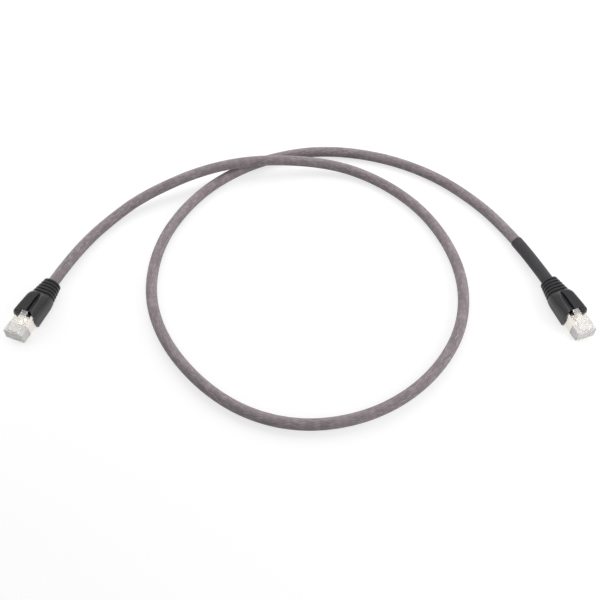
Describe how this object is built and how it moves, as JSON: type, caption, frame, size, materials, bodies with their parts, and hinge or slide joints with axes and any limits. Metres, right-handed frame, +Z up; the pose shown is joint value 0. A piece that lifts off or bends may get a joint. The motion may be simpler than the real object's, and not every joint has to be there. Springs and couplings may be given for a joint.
{
  "type": "ethernet patch cable",
  "caption": "Braided ethernet patch cable in one loose loop, with a ribbed strain-relief boot, a clear shielded modular plug and a sprung latch at each end.",
  "frame": {"origin": "middle of the two plug ends' footprint, on the surface that the cable lies on", "axes": "+Z up from that surface; +X from the left plug end to the right one; +Y away from the plugs' noses, towards the crossing of the loop"},
  "size_m": [0.3163, 0.2054, 0.0127],
  "materials": {
    "braid": "fine woven nylon sleeving, satin",
    "jacket": "smooth extruded PVC",
    "screen": "tinned copper braid, bright",
    "filler": "natural polyethylene",
    "core": "bare copper, bright",
    "label": "heat-shrink sleeve, matte, plain",
    "boot": "moulded soft PVC, soft sheen",
    "clear": "clear polycarbonate, polished",
    "shell": "nickel-plated stamped brass, bright",
    "wrap": "tinned copper braid folded back",
    "contact": "gold-plated phosphor bronze",
    "load_bar": "natural polycarbonate",
    "insulation_white_orange": "extruded polyethylene",
    "insulation_orange": "extruded polyethylene",
    "insulation_white_green": "extruded polyethylene",
    "insulation_blue": "extruded polyethylene",
    "insulation_white_blue": "extruded polyethylene",
    "insulation_green": "extruded polyethylene",
    "insulation_white_brown": "extruded polyethylene",
    "insulation_brown": "extruded polyethylene"
  },
  "bodies": {
    "root": {"braided_sleeve": "braid", "cable_jacket": "jacket", "screen_braid": "screen", "filler_cord": "filler", "wire_1_white_orange": "insulation_white_orange", "wire_2_orange": "insulation_orange", "wire_3_white_green": "insulation_white_green", "wire_4_blue": "insulation_blue", "wire_5_white_blue": "insulation_white_blue", "wire_6_green": "insulation_green", "wire_7_white_brown": "insulation_white_brown", "wire_8_brown": "insulation_brown", "conductor_cores": "core", "label_sleeve": "label", "boot_left": "boot", "plug_body_left": "clear", "shield_shell_left": "shell", "ground_wrap_left": "wrap", "contacts_left": "contact", "load_bar_left": "load_bar", "boot_right": "boot", "plug_body_right": "clear", "shield_shell_right": "shell", "ground_wrap_right": "wrap", "contacts_right": "contact", "load_bar_right": "load_bar"},
    "latch_left": {"latch_left": "clear"},
    "latch_right": {"latch_right": "clear"}
  },
  "joints": [
    {"name": "latch_left_flex", "type": "hinge", "parent": "root", "child": "latch_left", "pos_m": [-0.1518, -0.01751, 0.00765], "axis": [-0.9291, 0.3697, 0], "range_deg": [0, 7], "stiffness_Nm_per_rad": 0.02},
    {"name": "latch_right_flex", "type": "hinge", "parent": "root", "child": "latch_right", "pos_m": [0.15327, -0.01637, 0.00765], "axis": [-0.9361, -0.3518, 0], "range_deg": [0, 7], "stiffness_Nm_per_rad": 0.02}
  ]
}
